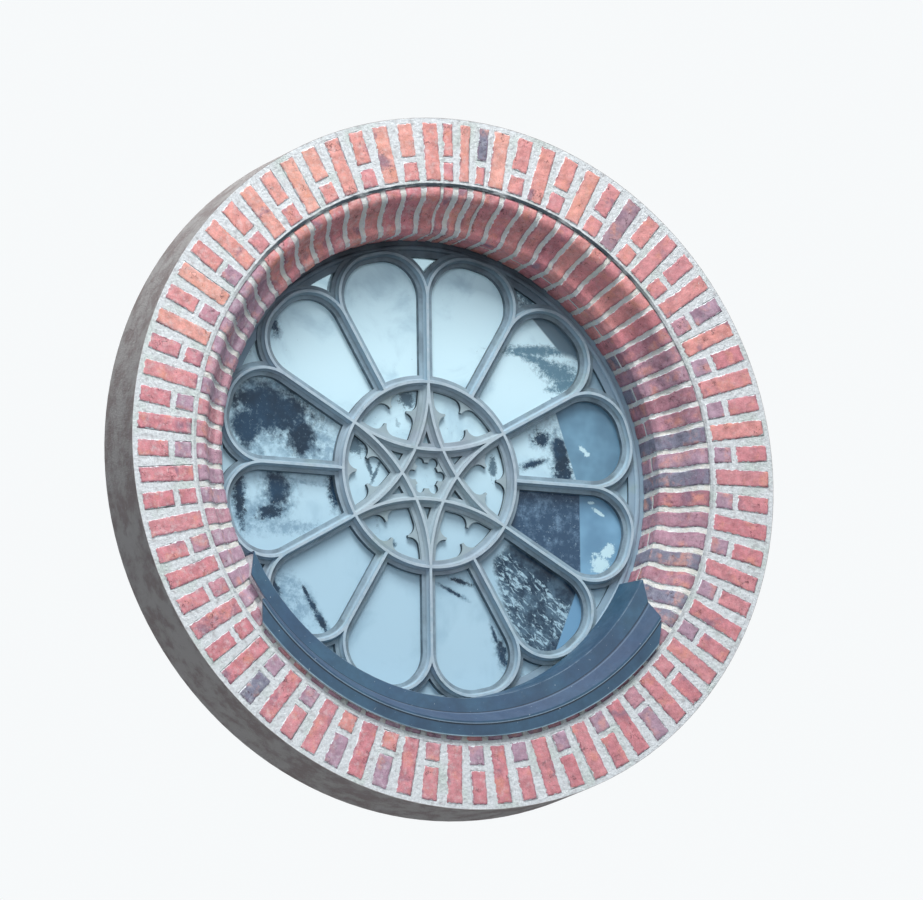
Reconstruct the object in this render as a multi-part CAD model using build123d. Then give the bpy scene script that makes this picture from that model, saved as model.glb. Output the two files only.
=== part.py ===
from build123d import *
from math import asin, atan2, cos, degrees, hypot, radians, sin, sqrt
import os

# Oculus window: round timber tracery behind a splayed ring of moulded brick.
# The window stands in the XZ plane. +X is right, +Z is up and +Y runs into the wall.
# The origin is the centre of the round opening, on the face of the outer brick ring.
# Depths are Y values, and angles are measured in the window plane from +X towards +Z.

# Setting out of the tracery, along the ridges of its mouldings
hub_radius = 270.0
petal_count = 12
crown_radius = 651.0
shoulder_easing = 12.348625
rim_sight = 14.0

# Section shared by the spokes, the petal heads, the hub ring and the star ribs
ridge_width = 8.0
hollow_width = 21.0
member_width = 41.0
tongue_width = 16.0
hollow_depth = 18.0
hollow_sag = 2.0
glass_line = 34.0
member_depth = 52.0

# Cusped leaves and foiled eye, let into rebates behind a thin lip
leaf_lip = 3.0
leaf_cover = 8.5
leaf_margin = 2.0
cusp_height = 28.5
cusp_tip = 6.4
eye_inset = 48.01606
foil_radius = 14.3
foil_inset = 43.11606

# Glass and beads
glass_thickness = 4.0
glass_clearance = 1.5
bead_width = 10.0
bead_thickness = 12.0

# Outer rim and its seat
crown_margin = 33.0
reveal_depth = 200.0
ridge_stand = 22.0
rim_thickness = 50.0
rim_lap = 34.0
rim_rebate = 11.0

# Frame screws
screw_count = 8
screw_diameter = 8.0
screw_clearance = 0.3
screw_head_diameter = 18.0
screw_head_height = 5.0
screw_grip = 60.0

# Brick rings
voussoir_count = 80
first_voussoir_angle = 1.25
closing_voussoirs = (18, 22)
closing_angles = (80.6, 94.0)
moulded_ring_width = 121.0
moulded_ring_setback = 5.0
ring_joint = 14.0
outer_ring_length = 169.0
brick_width = 48.0
closing_brick_width = 32.0
closer_length = 56.0
bed_joint = 15.0
collar_width = 15.0
moulded_brick_angle = 3.5
closing_moulded_angle = 2.2
short_brick_depth = 133.0
end_joint = 12.0
mortar_recess = 2.5

# Moulded brick section: a rounded shoulder, a steep slope, a hollow, a shelf and an arris
shoulder_flat = 15.0
shoulder_bend = 28.0
slope_angle = 58.7
slope_length = 46.4
shelf_reach = 32.0
shelf_depth = 80.0
shelf_fall = 2.0
arris_width = 13.0
arris_depth = 96.0

# Sheet flashing over the lower part of the splay
sheet = 2.0
tread_overlap = 30.0
tread_gap = 2.0
nosing_overlap = 12.5
nosing_depth = 54.0
riser_reach = 31.0
riser_depth = 47.5
apron_rise = 55.0
apron_stand = 11.0
apron_height = 44.0
hem_length = 7.0
haunch_end_gap = 6.0
haunch_clearance = 1.5

# Corners of the flashing's two ends, each as its distance outside the reveal and its angle
right_corners = [(-10.3347, -25.30977), (28.8401, -29.40592), (80.932, -33.75239), (113.4409, -38.27829)]
left_corners = [
    (-11.7129, -154.54032),
    (32.5766, -149.74932),
    (36.8218, -143.57523),
    (68.9416, -144.24117),
    (101.7207, -141.04409),
]

# Worked out from the values above
petal_angle = 360 / petal_count
half_petal = petal_angle / 2
ridge_depth = reveal_depth - ridge_stand
lip_depth = ridge_depth + hollow_depth
pane_depth = ridge_depth + glass_line
pane_back = pane_depth + glass_thickness
rim_back = reveal_depth + rim_thickness
half_member = member_width / 2
half_tongue = tongue_width / 2
pane_offset = half_tongue + glass_clearance
pane_lap = rim_rebate - glass_clearance
star_radius = hub_radius * sqrt(3)
star_centre = hub_radius * 2
round_head_radius = crown_radius / (1 + 1 / sin(radians(half_petal)))
shoulder_radius = round_head_radius - shoulder_easing
spandrel_radius = crown_radius - rim_sight
shoulder_circle = crown_radius - shoulder_radius
shoulder_turn = degrees(asin(shoulder_radius / shoulder_circle))
split_radius = shoulder_circle * cos(radians(shoulder_turn))
crossing_radius = hub_radius * (sqrt(3) - sqrt(2))
eye_radius = crossing_radius - eye_inset
foil_circle = crossing_radius - foil_inset
reveal_radius = crown_radius + crown_margin
rim_radius = reveal_radius + rim_lap
screw_circle = (reveal_radius + rim_radius) / 2
moulded_ring_radius = reveal_radius + moulded_ring_width
shoulder_start = moulded_ring_radius - shoulder_flat
shelf_radius = reveal_radius + shelf_reach
arris_radius = reveal_radius + arris_width
tread_radius = reveal_radius - tread_overlap
nosing_radius = reveal_radius - nosing_overlap
riser_radius = reveal_radius + riser_reach
apron_top_radius = moulded_ring_radius - apron_rise
apron_radius = apron_top_radius + apron_height
outer_ring_start = moulded_ring_radius + ring_joint
outer_ring_end = outer_ring_start + outer_ring_length
header_start = outer_ring_start + closer_length + bed_joint
collar_radius = outer_ring_end + collar_width
closer_front = short_brick_depth + end_joint
window_axis = Axis((0, 0, 0), (0, 1, 0))


def polar(radius, angle):
    """Point of the window plane at this radius and angle."""
    return (radius * cos(radians(angle)), radius * sin(radians(angle)))


def place(point, depth):
    """Point of the window plane moved to this depth."""
    return Vector(point[0], depth, point[1])


def slab(sketch, front, back):
    """Plate with this outline in the window plane, from the front depth to the back depth."""
    return extrude(Plane.XZ.offset(-back) * sketch, amount=back - front)


def turned(shape, angle):
    """Shape turned about the window's axis."""
    return Rot(0, -angle, 0) * shape


def disc(radius, centre=(0, 0)):
    """Disc in the window plane."""
    return Pos(*centre) * Circle(radius)


def sector(start, end):
    """Triangle in the window plane that covers the angles from start to end."""
    return make_face(Polyline((0, 0), polar(collar_radius, start), polar(collar_radius, end), close=True))


def spun(section, start, end):
    """Section in the radius and depth plane, turned about the window's axis from start to end."""
    return revolve(turned(section, start), Axis((0, 0, 0), (0, -1, 0)), revolution_arc=end - start)


def moulding(plane, tongue=True):
    """Section of a tracery member: ridge, hollows, lips, glass rebates and tongue."""
    ridge = ridge_width / 2
    foot = hollow_width / 2
    chord = hypot(foot - ridge, hollow_depth)
    middle = (
        (ridge + foot) / 2 - hollow_sag * hollow_depth / chord,
        -hollow_depth / 2 - hollow_sag * (foot - ridge) / chord,
    )
    back = [(foot, -hollow_depth), (half_member, -hollow_depth), (half_member, -glass_line)]
    if tongue:
        back += [(half_tongue, -glass_line), (half_tongue, -member_depth)]
    mirrored = [(-x, y) for x, y in reversed(back)]
    outline = Curve() + [
        ThreePointArc((ridge, 0), middle, (foot, -hollow_depth)),
        Polyline(*back, *mirrored),
        ThreePointArc((-foot, -hollow_depth), (-middle[0], middle[1]), (-ridge, 0)),
        Line((-ridge, 0), (ridge, 0)),
    ]
    return plane * make_face(outline)


def member_plane(point, angle):
    """Section plane of a member that passes this point of the window plane at this heading."""
    heading = place(polar(1, angle), 0)
    across = place(polar(1, angle + 90), 0)
    return Plane(origin=place(point, ridge_depth), x_dir=across, z_dir=heading)


def make_hub_ring():
    """Round ring at the centre, with the shared section."""
    section = moulding(member_plane((hub_radius, 0), 90))
    return revolve(section, window_axis)


def make_spoke(ring):
    """Straight member from the hub ring to the fork of two petal heads, scribed over the ring."""
    bar = extrude(moulding(member_plane((hub_radius, 0), 0)), amount=split_radius - hub_radius)
    return bar - ring


def head_path():
    """Ridge line of a petal head on the +X axis, from fork to fork."""
    centre = polar(shoulder_circle, shoulder_turn - half_petal)
    start_angle = -half_petal - 90
    end_angle = shoulder_turn - half_petal
    middle_angle = (start_angle + end_angle) / 2
    start = polar(split_radius, -half_petal)
    bend = polar(shoulder_radius, middle_angle)
    middle = (centre[0] + bend[0], centre[1] + bend[1])
    crown = polar(crown_radius, end_angle)
    shoulder = [place(p, ridge_depth) for p in (start, middle, crown)]
    top = [place(p, ridge_depth) for p in (crown, (crown_radius, 0), (crown[0], -crown[1]))]
    first = ThreePointArc(*shoulder)
    return Curve() + [first, ThreePointArc(*top), mirror(first, Plane.XY)]


def make_petal_head():
    """Arched head of the petal on the +X axis, mitred to its neighbours at the forks."""
    start = polar(split_radius, -half_petal)
    section = moulding(member_plane(start, -half_petal))
    arch = sweep(section, path=head_path())
    return arch & slab(sector(-half_petal, half_petal), 0, rim_back)


def petal_outline(offset):
    """Outline of the petal on the +X axis, inset from the ridges by this offset."""
    inner = hub_radius + offset
    foot = polar(inner, half_petal - degrees(asin(offset / inner)))
    centre = polar(shoulder_circle, half_petal - shoulder_turn)
    bend = shoulder_radius - offset
    spring = polar(bend, half_petal + 90)
    middle = polar(bend, (half_petal + 90 + half_petal - shoulder_turn) / 2)
    crown = polar(crown_radius - offset, half_petal - shoulder_turn)
    spring = (centre[0] + spring[0], centre[1] + spring[1])
    middle = (centre[0] + middle[0], centre[1] + middle[1])
    outline = Curve() + [
        Line(foot, spring),
        ThreePointArc(spring, middle, crown),
        ThreePointArc(crown, (crown_radius - offset, 0), (crown[0], -crown[1])),
        ThreePointArc((crown[0], -crown[1]), (middle[0], -middle[1]), (spring[0], -spring[1])),
        Line((spring[0], -spring[1]), (foot[0], -foot[1])),
        ThreePointArc((foot[0], -foot[1]), (inner, 0), foot),
    ]
    return make_face(outline)


def spandrel_outline(offset, radius):
    """Outline of the spandrel on the +X axis, clear of both ridges by this offset."""
    upper = polar(shoulder_circle, shoulder_turn)
    lower = polar(shoulder_circle, -shoulder_turn)
    reach = shoulder_radius + offset
    area = disc(radius) & sector(-shoulder_turn, shoulder_turn)
    area = area - disc(reach, upper) - disc(reach, lower)
    fork = split_radius + sqrt(reach**2 - shoulder_radius**2)
    keep = Pos(fork + radius, 0) * Rectangle(2 * radius, 2 * radius)
    return area & keep


def star_cell(offset):
    """Cell on the +X axis between the hub ring and two star ribs, inset by this offset."""
    upper = disc(star_radius - offset, polar(star_centre, -30))
    lower = disc(star_radius - offset, polar(star_centre, 30))
    return disc(hub_radius - offset) & upper & lower


def eye_cell(offset):
    """Six-sided cell at the centre, inset from the star ribs by this offset."""
    area = disc(crossing_radius)
    for k in range(6):
        area -= disc(star_radius + offset, polar(star_centre, 60 * k + 30))
    return area


def cusp(edge_radius, axis_angle):
    """Cusp that points at the centre of a round edge, with a quarter-round hollow on each side."""
    middle_circle = edge_radius - cusp_height
    half_base = cusp_tip / 2 + cusp_height
    spread = degrees(asin(half_base / middle_circle))
    body = disc(edge_radius + leaf_margin) - disc(middle_circle)
    body &= sector(-spread, spread)
    for side in (-spread, spread):
        body -= disc(cusp_height, polar(middle_circle, side))
    return Rot(0, 0, axis_angle) * body


def make_cusped_leaf():
    """Leaf on the +X axis with a trefoil opening between three cusps."""
    edge = half_member + leaf_margin
    below = polar(star_centre, -30)
    rim_end = polar(hub_radius, 30)
    rim_angle = degrees(atan2(rim_end[1] - below[1], rim_end[0] - below[0]))
    crossing_angle = degrees(atan2(-below[1], crossing_radius - below[0]))
    side_angle = (rim_angle + crossing_angle) / 2
    side = star_radius - edge
    opening = star_cell(edge) - cusp(hub_radius - edge, 0)
    opening -= Pos(*below) * cusp(side, side_angle)
    opening -= Pos(*polar(star_centre, 30)) * cusp(side, -side_angle)
    leaf = star_cell(half_member - leaf_cover) - opening
    return slab(leaf, lip_depth + leaf_lip, pane_depth)


def make_foiled_eye():
    """Leaf at the centre with a round opening of six foils."""
    opening = disc(eye_radius)
    for k in range(6):
        opening += disc(foil_radius, polar(foil_circle, 60 * k))
    leaf = eye_cell(half_member - leaf_cover) - opening
    return slab(leaf, lip_depth + leaf_lip, pane_depth)


def star_rib(centre_angle):
    """One rib of the star: an arc of a circle that meets the hub ring squarely at both ends."""
    centre = polar(star_centre, centre_angle)
    near = polar(hub_radius, centre_angle - 60)
    section = moulding(member_plane(near, centre_angle - 60), tongue=False)
    axis = Axis(place(centre, 0), (0, 1, 0))
    return revolve(section, axis, revolution_arc=60)


def make_star(ring, leaves):
    """Star of six crossing ribs, scribed over the hub ring and rebated for the leaves."""
    wedge = slab(sector(60, 90), 0, rim_back)
    arm = star_rib(30) & wedge
    base = star_rib(90) & wedge
    half = arm + base
    pair = half + mirror(half, Plane.YZ)
    star = Part() + [turned(pair, 60 * k) for k in range(6)]
    star = star & slab(disc(hub_radius), 0, rim_back)
    return star - ring - leaves


def make_rim(heads, screws):
    """Outer rim seated on the back of the moulded bricks, housed out for the petal heads."""
    front = slab(disc(rim_radius) - disc(spandrel_radius), reveal_depth, pane_depth)
    back = slab(disc(rim_radius) - disc(spandrel_radius + rim_rebate), pane_depth, rim_back)
    return front + back - heads - screws


def screw_shank(clearance):
    """Shank of the frame screw on the +X axis."""
    reach = disc(screw_diameter / 2 + clearance, (screw_circle, 0))
    return slab(reach, reveal_depth - screw_grip - clearance, rim_back)


def make_screw():
    """Frame screw on the +X axis, with its round head on the back of the rim."""
    head = slab(disc(screw_head_diameter / 2, (screw_circle, 0)), rim_back, rim_back + screw_head_height)
    return screw_shank(0) + head


def mould_section():
    """Section of a moulded brick in the radius and depth plane."""
    turn = radians(slope_angle)
    start = (shoulder_start, moulded_ring_setback)
    bend = (start[0] - shoulder_bend * sin(turn), start[1] + shoulder_bend * (1 - cos(turn)))
    foot = (bend[0] - slope_length * cos(turn), bend[1] + slope_length * sin(turn))
    shelf = (shelf_radius, shelf_depth)
    outline = Curve() + [
        Line((moulded_ring_radius, moulded_ring_setback), start),
        TangentArc(start, bend, tangent=(-1, 0)),
        Line(bend, foot),
        TangentArc(foot, shelf, tangent=(-cos(turn), sin(turn))),
        Line(shelf, (arris_radius, shelf_depth + shelf_fall)),
        Line((arris_radius, shelf_depth + shelf_fall), (reveal_radius, arris_depth)),
        Line((reveal_radius, arris_depth), (reveal_radius, reveal_depth)),
        Line((reveal_radius, reveal_depth), (moulded_ring_radius, reveal_depth)),
        Line((moulded_ring_radius, reveal_depth), (moulded_ring_radius, moulded_ring_setback)),
    ]
    return make_face(outline)


def block_section(inner, outer, front, back):
    """Plain rectangle in the radius and depth plane."""
    return Pos((inner + outer) / 2, (front + back) / 2) * Rectangle(outer - inner, back - front)


def voussoir_centre(number):
    """Angle of the middle of a voussoir: two even runs from the right, closed by narrow ones at the top."""
    first, last = closing_voussoirs
    right, left = closing_angles
    if number <= first:
        return first_voussoir_angle + (right - first_voussoir_angle) * number / first
    if number <= last:
        return right + (left - right) * (number - first) / (last - first)
    full_turn = first_voussoir_angle + 360
    return left + (full_turn - left) * (number - last) / (voussoir_count - last)


def is_closing(number):
    """Whether this voussoir is one of the narrow ones."""
    return closing_voussoirs[0] < number < closing_voussoirs[1]


def moulded_half(number):
    """Half of the angle that a moulded brick takes up."""
    return (closing_moulded_angle if is_closing(number) else moulded_brick_angle) / 2


def moulded_side(number, side):
    """Angle of one side of a moulded brick, with -1 for its right side and 1 for its left side."""
    return voussoir_centre(number) + side * moulded_half(number)


def odd_voussoirs():
    """Numbers of the split voussoirs."""
    return range(1, voussoir_count, 2)


def even_voussoirs():
    """Numbers of the long voussoirs."""
    return range(0, voussoir_count, 2)


def screw_voussoirs():
    """Long voussoirs that take the frame screws, spread evenly round the rim."""
    return [2 * round(k * voussoir_count / 2 / screw_count) for k in range(screw_count)]


def make_moulded_bricks():
    """Long moulded bricks, and short ones with a plain closer behind each."""
    section = mould_section()
    short_section = section & block_section(0, moulded_ring_radius, 0, short_brick_depth)
    closer_section = block_section(reveal_radius, moulded_ring_radius, closer_front, reveal_depth)
    long_bricks = []
    for k in even_voussoirs():
        brick = spun(section, -moulded_half(k), moulded_half(k))
        if k in screw_voussoirs():
            brick -= screw_shank(screw_clearance)
        long_bricks.append(turned(brick, voussoir_centre(k)))
    short_bricks = []
    closers = []
    for k in odd_voussoirs():
        short_bricks.append(spun(short_section, moulded_side(k, -1), moulded_side(k, 1)))
        closers.append(spun(closer_section, moulded_side(k, -1), moulded_side(k, 1)))
    return long_bricks, short_bricks, closers


def voussoir_block(number, start, length):
    """Outline of a plain radial brick of this voussoir."""
    width = closing_brick_width if is_closing(number) else brick_width
    return Rot(0, 0, voussoir_centre(number)) * Pos(start + length / 2, 0) * Rectangle(length, width)


def outer_brick_outlines():
    """Outlines of the long voussoirs, and of the headers and closers of the split ones."""
    longs = [voussoir_block(k, outer_ring_start, outer_ring_length) for k in even_voussoirs()]
    headers = [voussoir_block(k, header_start, outer_ring_end - header_start) for k in odd_voussoirs()]
    closers = [voussoir_block(k, outer_ring_start, closer_length) for k in odd_voussoirs()]
    return longs, headers, closers


def make_outer_bricks():
    """Long voussoirs, and split ones made of a header and a closer."""
    return [[slab(outline, 0, reveal_depth) for outline in group] for group in outer_brick_outlines()]


def make_outer_mortar():
    """Mortar bed of the outer ring, with its collar and the joint circle between the rings."""
    bed = disc(collar_radius) - disc(moulded_ring_radius)
    for group in outer_brick_outlines():
        bed -= group
    return slab(bed, mortar_recess, reveal_depth)


def make_moulded_joints():
    """Mortar round each short moulded brick: a joint on each side and the bed behind it, in one piece."""
    recessed = Pos(mortar_recess, mortar_recess) * mould_section()
    side_section = recessed & block_section(0, moulded_ring_radius, 0, reveal_depth)
    end_section = side_section & block_section(0, moulded_ring_radius, short_brick_depth, closer_front)
    joints = []
    for k in odd_voussoirs():
        before = moulded_side(k - 1, 1)
        right = moulded_side(k, -1)
        left = moulded_side(k, 1)
        after = moulded_side(k + 1, -1)
        joint = spun(end_section, right, left)
        joints.append(joint + spun(side_section, before, right) + spun(side_section, left, after))
    return joints


def outer_skin():
    """Visible line of the upper sheet in the radius and depth plane: tread, riser, slope and hem."""
    front = -apron_stand - sheet
    return [
        (tread_radius, ridge_depth - tread_gap),
        (nosing_radius, nosing_depth),
        (riser_radius, riser_depth),
        (apron_top_radius, front),
        (apron_top_radius + hem_length, front),
    ]


def inner_skin():
    """Underside of the upper sheet: the visible line moved in by the thickness of the sheet."""
    points = outer_skin()
    headings = []
    for a, b in zip(points, points[1:]):
        length = hypot(b[0] - a[0], b[1] - a[1])
        headings.append(((b[0] - a[0]) / length, (b[1] - a[1]) / length))
    moved = []
    for k, point in enumerate(points):
        before = headings[max(k - 1, 0)]
        after = headings[min(k, len(headings) - 1)]
        scale = sheet / (1 + before[0] * after[0] + before[1] * after[1])
        moved.append((point[0] - (before[1] + after[1]) * scale, point[1] + (before[0] + after[0]) * scale))
    return moved


def trim_ends(shape, end_gap):
    """Part of a turned shape between the flashing's two ends, short of each by this gap."""
    right_end = [polar(reveal_radius + outside, angle) for outside, angle in right_corners]
    left_end = [polar(reveal_radius + outside, angle) for outside, angle in left_corners]
    right_foot = (right_end[-1][0], -collar_radius)
    left_foot = (left_end[-1][0], -collar_radius)
    between = make_face(Polyline((0, 0), *right_end, right_foot, left_foot, *reversed(left_end), close=True))
    if end_gap:
        between = offset(between, amount=-end_gap, kind=Kind.INTERSECTION)
    return shape & slab(between, -2 * apron_stand, rim_back)


def apron_section():
    """Section of the apron sheet, from under the hem to its lower edge."""
    return block_section(apron_top_radius + sheet, apron_radius, -apron_stand, sheet - apron_stand)


def make_flashing():
    """Upper sheet with tread, riser, slope and hem, and the apron sheet under the hem."""
    upper = make_face(Polyline(*outer_skin(), *reversed(inner_skin()), close=True))
    return trim_ends(spun(upper, -180, 0), 0), trim_ends(spun(apron_section(), -180, 0), 0)


def make_haunch():
    """Mortar haunch that carries the flashing on the moulded bricks."""
    skin = inner_skin()
    lip_clear = crown_radius + half_member + haunch_clearance
    crown_clear = ridge_depth - haunch_clearance
    under = [
        *skin[:-1],
        (apron_radius - sheet, -apron_stand),
        (apron_radius - sheet, reveal_depth),
        (lip_clear, reveal_depth),
        (lip_clear, crown_clear),
        (skin[0][0], crown_clear),
    ]
    bed = make_face(Polyline(*under, close=True)) - mould_section() - apron_section()
    return trim_ends(spun(bed, -180, 0), haunch_end_gap)


def spoke_angles():
    """Angles of the spokes."""
    return [petal_angle * k for k in range(petal_count)]


def all_round(shape, first_angle=0.0):
    """Twelve copies of a shape round the window."""
    return [turned(shape, first_angle + angle) for angle in spoke_angles()]


def make_panes():
    """Petal panes, spandrel panes and the round hub pane."""
    petal = slab(petal_outline(pane_offset), pane_depth, pane_back)
    spandrel = slab(spandrel_outline(pane_offset, spandrel_radius + pane_lap), pane_depth, pane_back)
    hub = slab(disc(hub_radius - pane_offset), pane_depth, pane_back)
    return all_round(petal, half_petal), all_round(spandrel), hub


def make_beads():
    """Glazing beads behind the panes."""
    inner = pane_offset + bead_width
    back = pane_back + bead_thickness
    petal = petal_outline(pane_offset) - petal_outline(inner)
    spandrel_opening = spandrel_outline(inner, spandrel_radius + pane_lap - bead_width)
    spandrel = spandrel_outline(pane_offset, spandrel_radius + pane_lap) - spandrel_opening
    hub = disc(hub_radius - pane_offset) - disc(hub_radius - inner)
    return (
        all_round(slab(petal, pane_back, back), half_petal),
        all_round(slab(spandrel, pane_back, back)),
        slab(hub, pane_back, back),
    )


def collect():
    """Every node of the window by name."""
    ring = make_hub_ring()
    spoke = make_spoke(ring)
    heads = all_round(make_petal_head(), half_petal)
    leaves = [turned(make_cusped_leaf(), 60 * k) for k in range(6)]
    eye = make_foiled_eye()
    screw_angles = [voussoir_centre(k) for k in screw_voussoirs()]
    holes = [turned(screw_shank(screw_clearance), angle) for angle in screw_angles]
    nodes = {
        "hub_ring": ring - leaves,
        "star_tracery": make_star(ring, [*leaves, eye]),
        "foiled_eye": eye,
        "outer_rim": make_rim(heads, holes),
        "frame_screws": [turned(make_screw(), angle) for angle in screw_angles],
        "outer_ring_mortar": make_outer_mortar(),
        "moulded_ring_joints": make_moulded_joints(),
        "sill_haunch": make_haunch(),
    }
    for k, leaf in enumerate(leaves):
        nodes[f"cusped_leaf_{k + 1}"] = leaf
    for k, angle in enumerate(spoke_angles()):
        nodes[f"spoke_{k + 1:02d}"] = turned(spoke, angle)
        nodes[f"petal_head_{k + 1:02d}"] = heads[k]
    groups = {
        ("moulded_long_bricks", "moulded_short_bricks", "reveal_closers"): make_moulded_bricks(),
        ("outer_long_bricks", "outer_header_bricks", "outer_closers"): make_outer_bricks(),
        ("flashing_upper", "flashing_apron"): make_flashing(),
        ("petal_panes", "spandrel_panes", "hub_pane"): make_panes(),
        ("petal_beads", "spandrel_beads", "hub_bead"): make_beads(),
    }
    for names, shapes in groups.items():
        nodes.update(zip(names, shapes))
    return nodes


def gathered(shape):
    """One shape for a node, from a single part or from a list of like parts."""
    if isinstance(shape, list):
        return Compound(children=[solid for piece in shape for solid in piece.solids()])
    return shape


os.makedirs("parts", exist_ok=True)
for name, shape in collect().items():
    export_step(gathered(shape), f"parts/{name}.step")
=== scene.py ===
from math import cos, hypot, pi, radians, sin, sqrt

import bpy
from mathutils import Matrix, Vector, noise


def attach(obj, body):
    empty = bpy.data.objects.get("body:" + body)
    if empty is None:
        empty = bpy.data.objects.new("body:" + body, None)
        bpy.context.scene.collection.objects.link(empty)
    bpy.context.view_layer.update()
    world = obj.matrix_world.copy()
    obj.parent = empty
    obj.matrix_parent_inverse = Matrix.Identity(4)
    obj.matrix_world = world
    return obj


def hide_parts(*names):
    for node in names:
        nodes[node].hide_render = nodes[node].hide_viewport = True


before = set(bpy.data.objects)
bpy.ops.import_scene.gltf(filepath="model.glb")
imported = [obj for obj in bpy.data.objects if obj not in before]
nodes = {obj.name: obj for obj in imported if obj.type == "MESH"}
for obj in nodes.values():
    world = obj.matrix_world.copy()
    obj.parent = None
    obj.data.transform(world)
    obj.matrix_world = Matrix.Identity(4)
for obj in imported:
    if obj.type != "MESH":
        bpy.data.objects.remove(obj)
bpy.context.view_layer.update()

# Sizes of the brick rings in millimetres, as in the part
voussoir_count = 80
first_voussoir_angle = 1.25
closing_voussoirs = (18, 22)
closing_angles = (80.6, 94.0)
moulded_ring_radius = 805.0
outer_ring_start = 819.0
outer_ring_length = 169.0
header_start = 890.0
closer_length = 56.0
brick_width = 48.0
closing_brick_width = 32.0
moulded_brick_angle = 3.5
closing_moulded_angle = 2.2
reveal_radius = 684.0
reveal_depth = 200.0
short_brick_depth = 133.0
closer_front = 145.0
shoulder_start = 790.0
moulded_ring_setback = 5.0
shoulder_bend = 28.0
slope_angle = 58.7
slope_length = 46.4
hollow_reach = 8.5
shelf_radius = 716.0
shelf_depth = 80.0
arris_radius = 697.0
arris_fall = 2.0
arris_depth = 96.0

# Sizes of the tracery and the flashing in metres
ridge_depth = 0.178
corner_depth = 0.1955
lip_back = 0.1965
leaf_edge = 0.2002
rim_edge = 0.202
glass_depth = 0.212
nosing_radius = 0.6715
riser_radius = 0.715
hem_radius = 0.750
hem_end = 0.757
apron_radius = 0.794
upper_sheet_edge = 0.9
ring_step_radius = 0.8085
collar_radius = 1.003

# Roll moulding on the rim, in metres, and the steps round it and over it
roll_inner = 0.6555
roll_outer = 0.6725
roll_back = 0.2005
roll_rise = 0.0062
roll_turns = 288
roll_steps = 9

# Camera, fitted to the photograph
photo_width = 923
photo_height = 900
camera_azimuth = -24.6
camera_elevation = -11.53
camera_roll = -0.74
camera_distance = 54.0
focal_pixels = 18910.0
sensor_width = 36.0
centre_pixel = (429.77, 474.06)

# Grid of the brick meshes in millimetres, and the steps in a bend of the mould
grid_step = 4.5
edge_rows = (0.0, 1.6, 3.8)
bend_steps = 5

# Radius at which a moulded brick's width is measured, and the edge distance of points behind the face
moulded_middle_radius = 740.0
behind_face = 20.0

# Kinds of brick, numbered for their draws and tones
long_ring, header_ring, closer_ring, moulded_long_ring, moulded_short_ring, reveal_ring = range(6)

# Wear of the radial bricks in millimetres, with the turn in degrees; waves are height, length and seed
plain_turn = 0.22
plain_width_change = 5.0
plain_start_change = 1.5
plain_stand = 0.7
plain_worn_edge = 4.2
plain_worn_change = 2.0
plain_seed_step = 40
plain_face_waves = ((0.7, 17, 9.0), (0.3, 6, 2.0))
plain_end_waves = ((2.4, 23, 0.0), (1.1, 8, 0.0))
plain_side_waves = ((2.2, 26, 7.0), (1.1, 8, 3.0))
plain_smear = 5.0
corner_reach = 9.0
corner_loss = 0.35
corner_noise = (15, 5.0)

# Wear of the moulded bricks, in the same units
moulded_turn = 0.12
moulded_stand = 1.0
moulded_worn_edge = 4.0
moulded_worn_change = 1.5
moulded_seed_step = 60
moulded_face_waves = ((0.8, 19, 0.0), (0.35, 6, 4.0))
moulded_side_waves = ((2.2, 27, 6.0), (1.0, 9, 8.0))
moulded_smear = 3.6
face_end_rounding = 0.8


def colour(red, green, blue):
    """Linear colour of a colour read in the photograph, from 0 to 255."""
    out = []
    for value in (red, green, blue):
        value /= 255
        out.append(value / 12.92 if value <= 0.04045 else ((value + 0.055) / 1.055) ** 2.4)
    return (*out, 1.0)


def rough(point, scale, seed=0.0):
    """Smooth noise from -1 to 1 at a point given in millimetres."""
    x, y, z = (value / scale for value in point)
    return noise.noise(Vector((x + seed, y - seed, z + seed * 0.5)))


# Material building

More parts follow.
